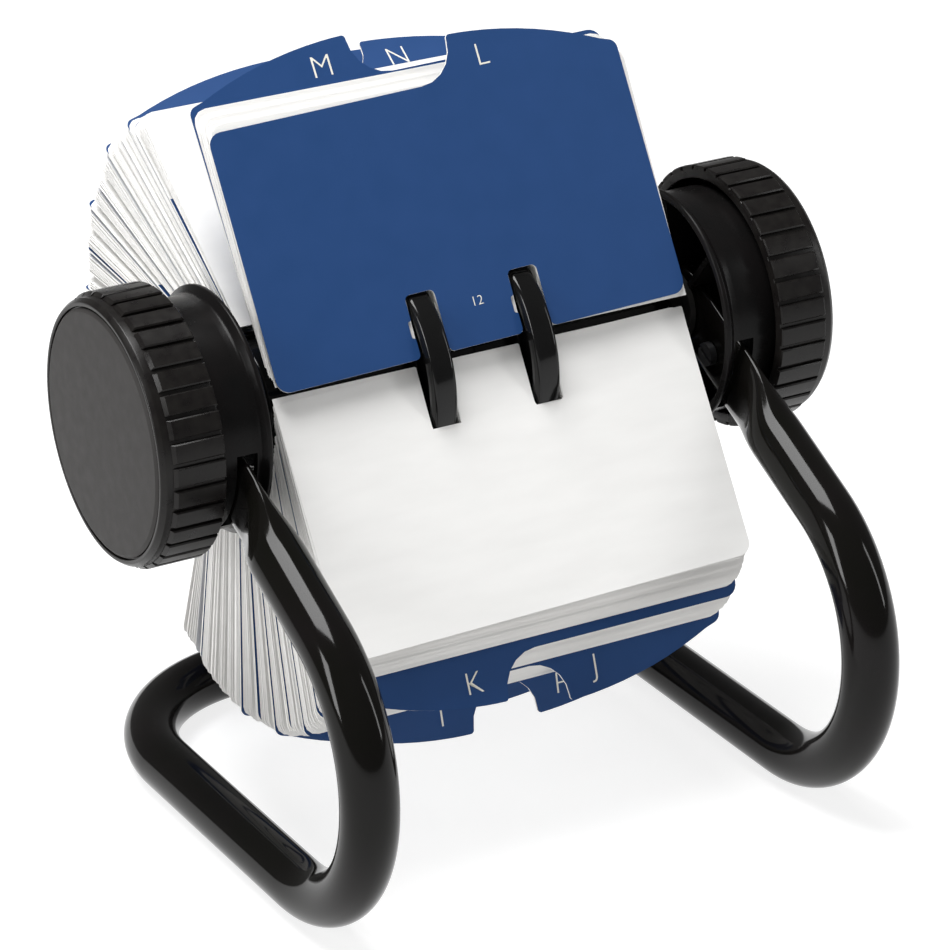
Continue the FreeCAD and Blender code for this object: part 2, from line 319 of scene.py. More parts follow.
# %% [markdown]
# The guides are laminated card: a smooth blue skin over a white core. Their letters are printed in
# a warm white. The parts inside are zinc-plated or blackened steel and two kinds of nylon.

# %% Finishes for the guides and the parts inside
guide_blue = surface("guide blue", (0.0135, 0.0530, 0.168), (0.0150, 0.0560, 0.178), (0.48, 0.56),
                     0.5, 0.006, Specular_IOR_Level=0.20)
guide_edge = surface("guide cut edge", (0.66, 0.65, 0.62), (0.80, 0.79, 0.76), (0.6, 0.7),
                     0.3, 0.01)
ink = surface("guide lettering", (0.74, 0.72, 0.63), (0.82, 0.80, 0.72), (0.40, 0.55), 0.4, 0.004)
steel = surface("zinc steel", (0.42, 0.42, 0.43), (0.60, 0.60, 0.61), (0.24, 0.40), 0.25, 0.003,
                stretch=(1, 6, 6), Metallic=1.0)
dark_steel = surface("blackened steel", (0.010, 0.010, 0.011), (0.020, 0.020, 0.021), (0.35, 0.50),
                     0.25, 0.004)
nylon = surface("natural nylon", (0.66, 0.65, 0.60), (0.76, 0.75, 0.70), (0.42, 0.55), 0.35, 0.01)
black_nylon = surface("black nylon", (0.010, 0.010, 0.009), (0.018, 0.017, 0.016), (0.42, 0.55),
                      0.35, 0.01)
bright_ball = surface("bright ball", (0.62, 0.62, 0.63), (0.78, 0.78, 0.79), (0.06, 0.12), 0.3,
                      0.001, Metallic=1.0)
print("surfaces:", len(bpy.data.materials))

# %% [markdown]
# Card is different: it is a stack of single sheets, and no two are quite the same white.
# Each card carries its own number in an attribute called "shade", and the material reads it.
# Thin fibres run along the sheet, so its noise is stretched one way.

# %% Card stock
def card_stock(name, dark, light):
    made = surface(name, dark, light, (0.62, 0.74), 0.35, 0.010, stretch=(0.25, 1, 1))
    tree = made.node_tree
    shader = tree.nodes["Principled BSDF"]
    tint = shader.inputs["Base Color"].links[0].from_socket
    shade = put(tree, "ShaderNodeAttribute", {"attribute_name": "shade"})
    tone = put(tree, "ShaderNodeValToRGB", Fac=(shade, "Fac"))
    tone.color_ramp.elements[0].color = (0.95, 0.945, 0.94, 1)
    tone.color_ramp.elements[1].color = (1, 1, 1, 1)
    blend = put(tree, "ShaderNodeMix", {"data_type": "RGBA", "blend_type": "MULTIPLY"})
    blend.inputs[0].default_value = 1.0
    tree.links.new(tint, blend.inputs[6])
    tree.links.new(tone.outputs["Color"], blend.inputs[7])
    tree.links.new(blend.outputs[2], shader.inputs["Base Color"])
    return made


card_white = card_stock("card stock", (0.85, 0.845, 0.83), (0.89, 0.885, 0.87))
card_edge = card_stock("card cut edge", (0.84, 0.83, 0.815), (0.90, 0.89, 0.875))
print("card finishes:", card_white.name, "and", card_edge.name)

# %% [markdown]
# ## The stand
# The stand is one steel tube: it lies on the desk along both sides and the back, bends up at the
# front, and leans back to the axle, where its two ends are pressed flat to fit inside the hubs.
# The tree first sweeps a circle along the path. Each point of the skin remembers the centre of its
# own section, because the pressing is measured from there.

# %% The tree that sweeps a tube
TUBE_R = 6.35
sweep_tree, source, result = new_tree("pressed tube", [
    ("Tube radius", "NodeSocketFloat", TUBE_R * MM), ("Sides", "NodeSocketInt", 56),
    ("Finish", "NodeSocketMaterial", None)])


def stored(tree, label, kind="FLOAT"):
    return put(tree, "GeometryNodeInputNamedAttribute", {"data_type": kind}, Name=label)


path_curve = put(sweep_tree, "GeometryNodeMeshToCurve", Mesh=(source, "Geometry"))
with_centre = put(sweep_tree, "GeometryNodeStoreNamedAttribute",
                  {"data_type": "FLOAT_VECTOR", "domain": "POINT"}, Geometry=path_curve,
                  Name="centre", Value=(put(sweep_tree, "GeometryNodeInputPosition"), 0))
ring = put(sweep_tree, "GeometryNodeCurvePrimitiveCircle", Resolution=(source, "Sides"),
           Radius=(source, "Tube radius"))
skin = put(sweep_tree, "GeometryNodeCurveToMesh", Curve=with_centre, Profile_Curve=ring,
           Fill_Caps=True)
print("sweep:", len(sweep_tree.nodes), "nodes so far")

# %% [markdown]
# Then the tree presses the section. Each point of the path carries how wide and how thick the tube
# is there, so the round part and the flat part are one skin. "Squareness" pushes the points out
# towards two flat faces and stops them there, which is what a press does to a round tube.

# %% The part of the tree that presses
here = put(sweep_tree, "GeometryNodeInputPosition")
arm = vector(sweep_tree, "SUBTRACT", here, stored(sweep_tree, "centre", "FLOAT_VECTOR"))
unit = vector(sweep_tree, "DIVIDE", arm, (source, "Tube radius"))
unit_parts = put(sweep_tree, "ShaderNodeSeparateXYZ", Vector=unit)
steep = calc(sweep_tree, "MULTIPLY", (unit_parts, "X"), stored(sweep_tree, "squareness"))
flat_x = calc(sweep_tree, "MAXIMUM", calc(sweep_tree, "MINIMUM", steep, 1.0), -1.0)
thick = calc(sweep_tree, "MULTIPLY", flat_x, stored(sweep_tree, "half thickness"))
in_plane = vector(sweep_tree, "MULTIPLY", unit, (0.0, 1.0, 1.0))
wide = put(sweep_tree, "ShaderNodeVectorMath", {"operation": "SCALE"}, n0=in_plane,
           Scale=stored(sweep_tree, "half width"))
across = put(sweep_tree, "ShaderNodeCombineXYZ", X=thick)
moved = vector(sweep_tree, "ADD", wide, across)
target = vector(sweep_tree, "ADD", moved, stored(sweep_tree, "centre", "FLOAT_VECTOR"))
pressed = put(sweep_tree, "GeometryNodeSetPosition", Geometry=skin, Position=target)
whole = put(sweep_tree, "GeometryNodeRealizeInstances", Geometry=pressed)
painted = put(sweep_tree, "GeometryNodeSetMaterial", Geometry=whole, Material=(source, "Finish"))
sweep_tree.links.new(painted.outputs[0], result.inputs[0])
print("pressed tube tree:", len(sweep_tree.nodes), "nodes")

# %% [markdown]
# How far the tube is pressed depends on the distance from the axle. It is flat as far as
# `PRESS_FROM`, round beyond `PRESS_TO`, and eases from one to the other between them. Past the axle
# the flat end is cut to a half circle.

# %% How the tube is pressed
FLAT_WIDTH, FLAT_THICKNESS, SQUARE = 9.0, 1.8, 1.25
PRESS_FROM, PRESS_TO = 28, 44


def pressing(distance):
    """Half width, half thickness and squareness of the tube so far from the axle."""
    if distance >= PRESS_TO:
        return TUBE_R, TUBE_R, 1.0
    if distance > PRESS_FROM:
        t = (distance - PRESS_FROM) / (PRESS_TO - PRESS_FROM)
        t = t * t * (3 - 2 * t)
        return (FLAT_WIDTH + (TUBE_R - FLAT_WIDTH) * t,
                FLAT_THICKNESS + (TUBE_R - FLAT_THICKNESS) * t, SQUARE - (SQUARE - 1) * t)
    if distance >= 0:
        return FLAT_WIDTH, FLAT_THICKNESS, SQUARE
    round_end = math.sqrt(max(FLAT_WIDTH ** 2 - distance ** 2, 0.01))
    return round_end, FLAT_THICKNESS, SQUARE


print("tube at the axle and at the desk:", pressing(0)[:2], pressing(PRESS_TO)[:2])

# %% [markdown]
# The path itself is worked out from sizes: the height of the axle, how far the side frames stand
# apart, and the radii of the bends. Straight runs need few points and bends need many.

# %% The path of the tube
tube_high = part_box("frame_tube")[1]
TUBE_X = tube_high.x / MM - TUBE_R
REAR_Y = (tube_high.y - AXLE.y) / MM - TUBE_R
FLOOR = TUBE_R - AXLE.z / MM
SLANT = 26.3
FRONT_BEND, REAR_BEND = 34.6, 36.0
FRONT_STEPS, REAR_STEPS = 40, 24
ARM_STATIONS = [-8.99, -8.8, -8.3, -7.4, -6, -4, 0, 12, 24, 28, 30, 32, 34, 36, 38, 40, 42, 44, 47]
BEYOND = 99  # any distance past the pressing


def side_path():
    """Right half of the path as (x, y, z, distance from the axle), in mm about the axle."""
    lean = math.radians(SLANT)
    reach = (-FLOOR - FRONT_BEND * (1 + math.cos(lean))) / math.sin(lean)
    points = [(TUBE_X, *(way(-SLANT) * d)[1:], d) for d in ARM_STATIONS]
    middle = way(-SLANT) * reach - way(90 - SLANT) * FRONT_BEND
    for k in range(FRONT_STEPS + 1):
        spoke = way(90 - SLANT - (180 - SLANT) * k / FRONT_STEPS) * FRONT_BEND
        points.append((TUBE_X, middle.y + spoke.y, middle.z + spoke.z, BEYOND))
    for k in range(REAR_STEPS + 1):
        a = math.radians(90 * k / REAR_STEPS)
        points.append((TUBE_X - REAR_BEND * (1 - math.cos(a)),
                       REAR_Y - REAR_BEND * (1 - math.sin(a)), FLOOR, BEYOND))
    return points


half = side_path()
whole_path = half + [(-x, y, z, d) for x, y, z, d in reversed(half)]
print("points along the tube:", len(whole_path))

# %% [markdown]
# The path becomes a mesh of points and edges, with three attributes that the tree reads. They are
# taken off again once the tube has grown.

# %% Grow the stand
guide_line = bpy.data.meshes.new("tube path")
guide_line.from_pydata([tuple(AXLE + Vector(p[:3]) * MM) for p in whole_path],
                       [(i, i + 1) for i in range(len(whole_path) - 1)], [])
SECTION = (("half width", MM), ("half thickness", MM), ("squareness", 1))
for index, (label, unit_size) in enumerate(SECTION):
    values = guide_line.attributes.new(label, "FLOAT", "POINT")
    values.data.foreach_set("value", [pressing(p[3])[index] * unit_size for p in whole_path])
path_object = link(bpy.data.objects.new("tube path", guide_line))
stand = grow("stand", path_object, sweep_tree, {"Tube radius": TUBE_R * MM, "Finish": stand_paint})
for label in ("centre", "half width", "half thickness", "squareness"):
    if label in stand.data.attributes:
        stand.data.attributes.remove(stand.data.attributes[label])
soften(tidy(stand), 40)
finish_piece(stand, "stand", "stand_black", "frame_tube")

# %% [markdown]
# ## The hubs
# Each hub is a moulded drum that closes the flat end of the tube inside it. Its mouth, towards the
# cards, flares out to a rounded lip. A window in the side lets the tube in.
# An outline spun about the axle gives the drum. A Boolean cuts the window with a plain block, and
# the same kind of block makes the ribs that stand inside.

# %% Blocks, and a way to cut with them
def block(name, low, high, turn):
    """A plain block from low to high in mm, turned about the axle by so many degrees."""
    turned = Matrix.Rotation(math.radians(turn), 3, "X")
    corners = [AXLE + turned @ Vector((x, y, z)) * MM
               for x in sorted((low[0], high[0]))
               for y in (low[1], high[1])
               for z in (low[2], high[2])]
    faces = [(0, 1, 3, 2), (4, 6, 7, 5), (0, 4, 5, 1), (2, 3, 7, 6), (0, 2, 6, 4), (1, 5, 7, 3)]
    return make_mesh(name, corners, faces)


def cut(piece, tool):
    """Take the tool's shape out of the piece; the tool is used up."""
    modifier = piece.modifiers.new("cut", "BOOLEAN")
    modifier.operation, modifier.solver, modifier.object = "DIFFERENCE", "EXACT", tool
    mesh = baked(piece)
    piece.modifiers.clear()
    piece.data = mesh
    bpy.data.objects.remove(tool)
    return piece


print("a block has 6 faces, and a cut uses it up")

# %% Two hubs
WINDOW = (59.2, -30, -11), (64.0, -18, 11)
RIB = (59.4, -23.9, -0.7), (71.8, -8.2, 0.7)
RIB_TURNS = (75, 128, 180, 232, 285)


def on_side(side, corner):
    return (side * corner[0], *corner[1:])


hub_outline = rounded([
    (56.0, 26.2, 0.25), (56.4, 27.3, 0.5), (57.3, 27.35, 0.6), (58.6, 25.6, 1.2), (60.4, 25.5, 2),
    (73.5, 25.5, 0.7), (73.5, 5.1, 0.2), (63.8, 5.1, 0.2), (63.8, 8.5, 0.3), (71.5, 8.5, 0.4),
    (71.5, 23.5, 0.8), (60.2, 23.5, 1.5), (57.8, 24.4, 1.0)], 4)
for side, label in ((1, "right"), (-1, "left")):
    hub = lathe("hub_" + label, hub_outline, hub_plastic, side=side)
    cut(hub, block("window", *(on_side(side, corner) for corner in WINDOW), SLANT))
    ribs = [block("rib", *(on_side(side, corner) for corner in RIB), SLANT - turn)
            for turn in RIB_TURNS]
    for rib in ribs:
        rib.data.materials.append(hub_plastic)
    soften(join([hub, *ribs]), 30)
    finish_piece(hub, "stand", "hub_black", "hub_" + label)

# %% [markdown]
# ## The core and its rails
# Two half cores meet in the middle of the axle. Each carries one rail, a ring with a mushroom head:
# the slots of the cards hook over it, so a card can slide round but not fall out.

# %% Two cores
core_outline = rounded([
    (0.06, 5.5, 0), (0.06, 14.5, 0.15), (11.25, 14.5, 0.5), (11.25, 20.7, 0.6), (9.75, 21.3, 0.5),
    (9.75, 22.5, 0.6), (10.2, 24.0, 1.1), (15.3, 24.0, 1.1), (15.75, 22.5, 0.6), (15.75, 21.3, 0.5),
    (14.25, 20.7, 0.6), (14.25, 14.5, 0.5), (50.5, 14.5, 0.6), (50.5, 3.1, 0.2), (48.0, 3.1, 0)], 4)
for side, label in ((1, "right"), (-1, "left")):
    core = lathe("core_" + label, core_outline, rail_plastic, side=side)
    finish_piece(core, "wheel", "core_black", "core_" + label)

# %% [markdown]
# ## The knobs
# A knob is a turned body with 36 raised pads round it, each a little brick with softened edges.
# The tree makes one point for each pad, turns a copy of the brick to its angle, and joins them
# to the body. The brick needs only a few faces, because there are so many of them.

# %% The tree that sets pads round a body
pad_tree, source, result = new_tree("pads round a body", [
    ("Pad", "NodeSocketObject", None), ("Pads", "NodeSocketInt", 36),
    ("Centre", "NodeSocketVector", None), ("Finish", "NodeSocketMaterial", None)])
spots = put(pad_tree, "GeometryNodePoints", Count=(source, "Pads"), Position=(source, "Centre"))
number = put(pad_tree, "GeometryNodeInputIndex")
share = calc(pad_tree, "DIVIDE", number, (source, "Pads"))
turn = calc(pad_tree, "MULTIPLY", share, 2 * math.pi)
spin = put(pad_tree, "ShaderNodeCombineXYZ", X=turn)
brick = put(pad_tree, "GeometryNodeObjectInfo", Object=(source, "Pad"))
copies = put(pad_tree, "GeometryNodeInstanceOnPoints", Points=spots, Instance=(brick, "Geometry"),
             Rotation=spin)
solid = put(pad_tree, "GeometryNodeRealizeInstances", Geometry=copies)
both = put(pad_tree, "GeometryNodeJoinGeometry")
pad_tree.links.new(solid.outputs[0], both.inputs[0])
pad_tree.links.new(source.outputs["Geometry"], both.inputs[0])
coloured = put(pad_tree, "GeometryNodeSetMaterial", Geometry=both, Material=(source, "Finish"))
pad_tree.links.new(coloured.outputs[0], result.inputs[0])
print("pad tree:", len(pad_tree.nodes), "nodes")

# %% [markdown]
# One pad is an arched brick. Its sides are chamfered so that each pad catches a thin line of light,
# and the slope is longer on the side towards the knob's face.

# %% One pad
KNOB_R, PAD_ROOT, GROOVE = 30.2, 28.9, 1.0
PADS = 36


def pad_mesh(name, x0, x1, side):
    """One pad about the axle, at the front. Its top follows the knob's curve."""
    low, top, small, slant = PAD_ROOT, KNOB_R, 0.28, 0.75
    half_angle = 360 / PADS / 2 - math.degrees(GROOVE / 2 / KNOB_R)
    steps = [-1, -0.5, 0, 0.5, 1]
    profile = [(x0, low), (x0, top - small), (x0 + small, top), (x1 - slant, top),
               (x1, top - slant), (x1, low)]
    n = len(steps)
    corners, faces = [], []
    for x, r in profile:
        for s in steps:
            inset = math.degrees(small / KNOB_R) if r == top and abs(s) == 1 else 0
            corners.append(way(s * (half_angle - inset)) * r * MM + Vector((side * x * MM, 0, 0)))
    for row in range(len(profile) - 1):
        for i in range(n - 1):
            p = row * n + i
            faces.append((p, p + 1, p + n + 1, p + n))
    for end in (0, n - 1):
        ids = [row * n + end for row in range(len(profile))]
        extra = len(corners)
        flank = way(steps[end] * half_angle) * (top - small) * MM
        corners += [flank + Vector((side * x * MM, 0, 0)) for x in (x0 + small, x1 - slant)]
        faces += [(ids[1], ids[2], extra), (ids[3], ids[4], extra + 1),
                  (ids[2], ids[3], extra + 1, extra),
                  (ids[0], ids[1], extra, extra + 1, ids[4], ids[5])]
    return tidy(make_mesh(name, corners, faces))


print("one pad and its groove span", round(360 / PADS, 1), "degrees")

# %% Two knobs and their faces
PAD_FROM, PAD_TO = 68.62, 80.6
knob_outline = rounded([
    (68.6, 27.3, 0.2), (68.6, 29.35, 0.4), (80.5, 29.35, 0), (82.1, 29.2, 0.5), (83.2, 28.4, 0.5),
    (83.15, 27.5, 0.25), (82.25, 27.5, 0.1), (82.25, 3.3, 0.1), (80.2, 3.3, 0.2), (80.2, 1.7, 0),
    (79.1, 1.7, 0), (79.1, 3.1, 0), (75.2, 3.1, 0.1), (75.2, 7.0, 0.4), (79.5, 7.0, 0.4),
    (79.5, 25.6, 1.0), (78.0, 27.3, 0.6)], 4)
face_outline = rounded([
    (82.35, 0.02, 0), (82.35, 27.15, 0.1), (82.95, 27.15, 0.2), (83.48, 26.4, 0.5),
    (83.48, 0.02, 0)], 4)
for side, label in ((1, "right"), (-1, "left")):
    body = lathe("turned body", knob_outline, knob_plastic, side=side)
    pad = pad_mesh("pad", PAD_FROM, PAD_TO, side)
    knob = grow("knob_" + label, body, pad_tree,
                {"Pad": pad, "Pads": PADS, "Centre": AXLE, "Finish": knob_plastic})
    bpy.data.objects.remove(pad)
    soften(knob, 28)
    finish_piece(knob, "wheel", "knob_black", "knob_" + label)
    face = lathe("knob_face_" + label, face_outline, face_plastic, around=120, side=side)
    finish_piece(face, "wheel", "knob_face", "knob_face_" + label)

# %% [markdown]
# ## Where each leaf hangs
# A leaf is a card or a guide. Its inner edge sits on the rails and its body points outwards.
# The engineering part already knows the place, so it is read from there: the long direction of
# its side view is where it points, and its straight side walls show how far it leans.

# %% Read a leaf's place from its engineering part
LEAN_ABOUT = 6 * MM  # how far out from its inner edge a leaf leans


def leaf_place(node):
    """Matrix from leaf space (x across, y outwards, z towards the open page) to the wheel."""
    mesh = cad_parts[node].data
    points = np.array([v.co for v in mesh.vertices], float) - np.array(AXLE)
    flat = points[:, 1:]
    middle = flat.mean(0)
    axes = np.linalg.svd(flat - middle, full_matrices=False)[2]
    along = axes[0] * np.sign(axes[0] @ middle)
    out = Vector((0, along[0], along[1]))
    up = Vector((1, 0, 0)).cross(out)
    mesh.calc_loop_triangles()
    walls = [t for t in mesh.loop_triangles if t.normal.x > 0.95]
    wall = max(walls, key=lambda t: t.area).normal
    lean = math.atan2(wall.dot(out), wall.x)
    a, h = flat @ along, points @ np.array(up)
    reach = (a * math.cos(lean) - points[:, 0] * math.sin(lean)).min()
    start = (reach + LEAN_ABOUT * (1 - math.cos(lean))) / math.cos(lean)
    base = out * start + up * float((h.min() + h.max()) / 2)
    frame_axes = Matrix(((1, 0, 0), tuple(out), tuple(up))).transposed().to_4x4()
    tilt = (Matrix.Translation((0, LEAN_ABOUT, 0)) @ Matrix.Rotation(lean, 4, "Z")
            @ Matrix.Translation((0, -LEAN_ABOUT, 0)))
    return Matrix.Translation(AXLE + base) @ frame_axes @ tilt


ORDER = "l m n o p q r s t u v w xyz a b c d e f g h i j k".split()
places = {name: leaf_place("guide_" + name) for name in ORDER}
places["front"] = leaf_place("front_card")
print("leaves placed:", len(places))

# %% [markdown]
# A fan goes from one place to the next in even steps. That is easiest with three numbers: how far
# round the axle the leaf sits, how far out, and which way it points.

# %% A place as three numbers
def polar(place):
    """The same place as three plain numbers: angle, radius in mm, and heading."""
    base = place @ Vector((0, 0, 0)) - AXLE
    out = place.to_3x3() @ Vector((0, 1, 0))
    angle = math.degrees(math.atan2(base.z, -base.y)) % 360
    heading = math.degrees(math.atan2(out.z, -out.y)) % 360
    return angle, math.hypot(base.y, base.z) / MM, heading


for name in ("l", "k", "front"):
    print("leaf", name, "angle, radius, heading:", [round(v, 1) for v in polar(places[name])])

# %% [markdown]
# ## Guides
# A guide is blue laminated card, 0.5 mm thick, with a white core that shows at its cut edges.
# The outline is drawn flat: two rounded lower corners at the rails, the tab with its arched top
# on one side, and a hollow curve where the tab meets the body.

# %% The flat outline of a leaf
CARD_W, CARD_H, CORNER_R = 101.6, 57.15, 3
RAIL_X, SLOT_HALF, SLOT_DEPTH, SLOT_R = 12.75, 3.6, 14.0, 1.2
NOTCH, NOTCH_LOW, NOTCH_HIGH = 0.8, 4.6, 8.4
TAB_H, TAB_START, TAB_FOOT_R, CROWN_R, CROWN_X = 9.95, 10.2, 8.8, 97.0, 8.0


def inner_edge():
    """Bottom edge from right to left with both slots, each with a small notch on its left."""
    a, n, r = SLOT_HALF, SLOT_HALF + NOTCH, SLOT_R
    slot = [(a, 0, r), (a, SLOT_DEPTH, r), (-a, SLOT_DEPTH, r), (-a, NOTCH_HIGH, 0.4),
            (-n, NOTCH_HIGH, 0.5), (-n, NOTCH_LOW, 0.5), (-a, NOTCH_LOW, 0.4), (-a, 0, r)]
    return [(centre + x, y, r) for centre in (RAIL_X, -RAIL_X) for x, y, r in slot]


def leaf_outline(tab):
    """Closed outline in mm. tab is 1 on the right, -1 on the left and 0 for a plain card."""
    h, top = CARD_W / 2, CARD_H + TAB_H
    inner = [(h, 0, CORNER_R), *inner_edge(), (-h, 0, CORNER_R)]
    if not tab:
        return rounded([*inner, (-h, CARD_H, CORNER_R), (h, CARD_H, CORNER_R)])

    def crown(x):
        return top - CROWN_R + math.sqrt(CROWN_R ** 2 - (x - CROWN_X) ** 2)

    arch = [(x, crown(x), 0) for x in (47, 44, 40, 36, 32, 28, 24, 20, 16, 13.5)]
    upper = [(h, CARD_H + 0.6, 2.2), *arch, (TAB_START, crown(TAB_START), 0.9),
             (TAB_START, CARD_H, TAB_FOOT_R), (-h, CARD_H, CORNER_R)]
    if tab > 0:
        return rounded([*inner, (-h, CARD_H, CORNER_R), *reversed(upper[:-1])])
    return rounded([*inner, *((-x, y, r) for x, y, r in upper)])


print("points in the outline of a guide:", len(leaf_outline(1)))

# %% [markdown]
# The outline is then given its thickness. The two faces take one finish and the cut edge takes
# another, because it shows what the sheet is made of.

# %% From an outline to a sheet
def sheet_mesh(name, outline, thickness, face_material, edge_material):
    """Give a flat outline a thickness; the faces take one material and the cut edge another."""
    n = len(outline)
    t = thickness / 2
    corners = [(p.x * MM, p.y * MM, t * MM) for p in outline]
    corners += [(p.x * MM, p.y * MM, -t * MM) for p in outline]
    faces = [tuple(range(n)), tuple(range(2 * n - 1, n - 1, -1))]
    faces += [(i + n, (i + 1) % n + n, (i + 1) % n, i) for i in range(n)]
    piece = make_mesh(name, corners, faces, face_material)
    piece.data.materials.append(edge_material)
    for face in piece.data.polygons[2:]:
        face.material_index = 1
    return soften(tidy(piece), 40)


print("a sheet has two finishes: its faces and its cut edge")

# %% [markdown]
# Each guide carries its letter on both sides of the tab. On the side that faces the open page the
# letter stands upright while the guide is at the top of the wheel. On the other side it is turned
# round, so that it reads upright again once the leaf has been turned down to the front.
# A small number between the slots tells the order in which the guides are filed.

# %% Letters as thin solid shapes
CAP_SHARE = 0.73  # a capital's height as a share of the font's size
ON_SURFACE = 0.262  # half a guide's thickness and a hair more


def lettering(text, height, centre, turned, thin):
    """Outline text as a mesh, in leaf space, lying just on the surface."""
    words = bpy.data.curves.new("words", "FONT")
    words.body, words.size = text, height / CAP_SHARE * MM
    words.align_x, words.align_y = "CENTER", "CENTER"
    words.offset = -thin * MM
    words.extrude = 0.02 * MM
    words.resolution_u = 4
    words.space_character = 1.05
    holder = link(bpy.data.objects.new("words", words))
    mesh = baked(holder)
    bpy.data.objects.remove(holder)
    lift = Matrix.Translation(Vector((centre[0], centre[1], 0)) * MM)
    turn = Matrix.Rotation(math.pi if turned else 0, 4, "X")
    raise_it = Matrix.Translation((0, 0, ON_SURFACE * MM))
    low = [v.co.y for v in mesh.vertices]
    settle = Matrix.Translation((0, -(min(low) + max(low)) / 2, 0))
    mesh.transform(lift @ turn @ raise_it @ settle)
    return mesh


def join_meshes(name, meshes, material):
    """One object from several meshes; the meshes are used up."""
    corners, faces = [], []
    for mesh in meshes:
        start = len(corners)
        corners += [v.co.copy() for v in mesh.vertices]
        faces += [tuple(start + i for i in p.vertices) for p in mesh.polygons]
        bpy.data.meshes.remove(mesh)
    return make_mesh(name, corners, faces, material)


print("letters lie", ON_SURFACE, "mm from the middle of the sheet")

# %% Twenty-four guides and their letters
GUIDE_T = 0.5
LETTER, LETTER_X, LETTER_X_XYZ, LETTER_Y = 5.3, 17.6, 19.5, 61.3
NUMBER, NUMBER_X, NUMBER_Y = 2.2, 0.3, 9.3
LEFT_TABS = set("acegikmoqsuw")
ALPHABET = [*"abcdefghijklmnopqrstuvw", "xyz"]
for name in ORDER:
    tab = -1 if name in LEFT_TABS else 1
    body = "leaf" if name == "l" else "wheel"
    guide = sheet_mesh("leaf_guide_" + name, leaf_outline(tab), GUIDE_T, guide_blue, guide_edge)
    guide.data.transform(places[name])
    finish_piece(guide, body, "guide_blue", "guide_" + name)
    letter_x = tab * LETTER_X if name != "xyz" else LETTER_X_XYZ
    order_number = str(ALPHABET.index(name) + 1)
    marks = []
    for turned in (False, True):
        marks.append(lettering(name.upper(), LETTER, (letter_x, LETTER_Y), turned, 0.14))
        marks.append(lettering(order_number, NUMBER, (NUMBER_X, NUMBER_Y), turned, 0.04))
    letters = join_meshes("letters_" + name, marks, ink)
    letters.data.transform(places[name])
    finish_piece(letters, body, "guide_blue")

# %% [markdown]
# ## The front card
# The open page faces one plain white card, cut from the same outline as the guides but without
# a tab. It is thinner than a guide.

# %% One plain card
front = sheet_mesh("leaf_front_card", leaf_outline(0), 0.3, card_white, card_edge)
shade = front.data.attributes.new("shade", "FLOAT", "POINT")
shade.data.foreach_set("value", [0.95] * len(front.data.vertices))
front.data.transform(places["front"])
finish_piece(front, "wheel", "card_white", "front_card")

# %% [markdown]
# ## The cards
# Between every two guides hangs a pack of cards, fanned from the place of one to the place of the
# next. One tree makes them all, one point for each card. The seed is fixed, so the fan is the same
# every time.

# %% The fan tree's inputs, and short names for its sums
fan_tree, source, result = new_tree("fan of cards", [
    ("Card", "NodeSocketObject", None), ("Cards", "NodeSocketInt", 16),
    ("Centre", "NodeSocketVector", None),
    *((label, "NodeSocketFloat", value) for label, value in (
        ("First angle", 0.0), ("Last angle", 1.0), ("First radius", 0.02), ("Last radius", 0.02),
        ("First heading", 0.0), ("Last heading", 1.0), ("First gap", 0.0007), ("Slid in", 0.0),
        ("Step", 0.0003), ("Proud", 0.0), ("Disorder", 1.0))), ("Seed", "NodeSocketInt", 7),
    ("Face finish", "NodeSocketMaterial", None), ("Edge finish", "NodeSocketMaterial", None)])
how_many, seed, disorder = (source, "Cards"), (source, "Seed"), (source, "Disorder")


def sums(operation):
    return lambda *values: calc(fan_tree, operation, *values)


plus, minus, times, over = sums("ADD"), sums("SUBTRACT"), sums("MULTIPLY"), sums("DIVIDE")
whole_part, least, most = sums("FLOOR"), sums("MINIMUM"), sums("MAXIMUM")
cosine, sine = sums("COSINE"), sums("SINE")


def chance(low, high, ident, seed):
    """A random number between low and high, the same for every point with the same ident."""
    made = put(fan_tree, "FunctionNodeRandomValue", {"data_type": "FLOAT"}, n2=low, n3=high,
               ID=ident, Seed=seed)
    return (made, 1)


def lerp(first, last, t):
    return plus(first, times(minus(last, first), t))


print("fan tree inputs:", len(source.outputs) - 1)

# %% [markdown]
# Real cards don't fan evenly. Bunches of four cling together, and blocks of nine gather towards
# their middle, which leaves thin dark lines between blocks. So a card's share of the way from
# first to last is its even share, moved a little by its bunch and by its block.

# %% How far along the fan each card is
IN_BUNCH, IN_BLOCK, GATHER = 4.0, 9.0, 0.30
number = put(fan_tree, "GeometryNodeInputIndex")
even = over(plus(number, 0.5), how_many)
bunch = whole_part(over(number, IN_BUNCH))
cling = times(chance(-0.4, 0.4, bunch, seed), over(disorder, how_many))
ledge = whole_part(over(number, IN_BLOCK))
ledge_middle = over(times(plus(ledge, 0.5), IN_BLOCK), how_many)
gather = times(minus(ledge_middle, even), GATHER)
along = least(plus(plus(even, cling), gather), minus(1.0, over(0.4, how_many)))
angle, radius, heading = (lerp((source, "First " + what), (source, "Last " + what), along)
                          for what in ("angle", "radius", "heading"))
print("fan tree:", len(fan_tree.nodes), "nodes so far")

# %% [markdown]
# Their outer edges aren't level either. Every card sinks or rises by a fraction of a millimetre.
# "Step" sets whole blocks back by different amounts, so the edges show ledges. "Slid in" pushes the
# first blocks of a pack towards the axle, and "Proud" draws the whole pack a little outwards.
# "First gap" leaves room beside the first guide.

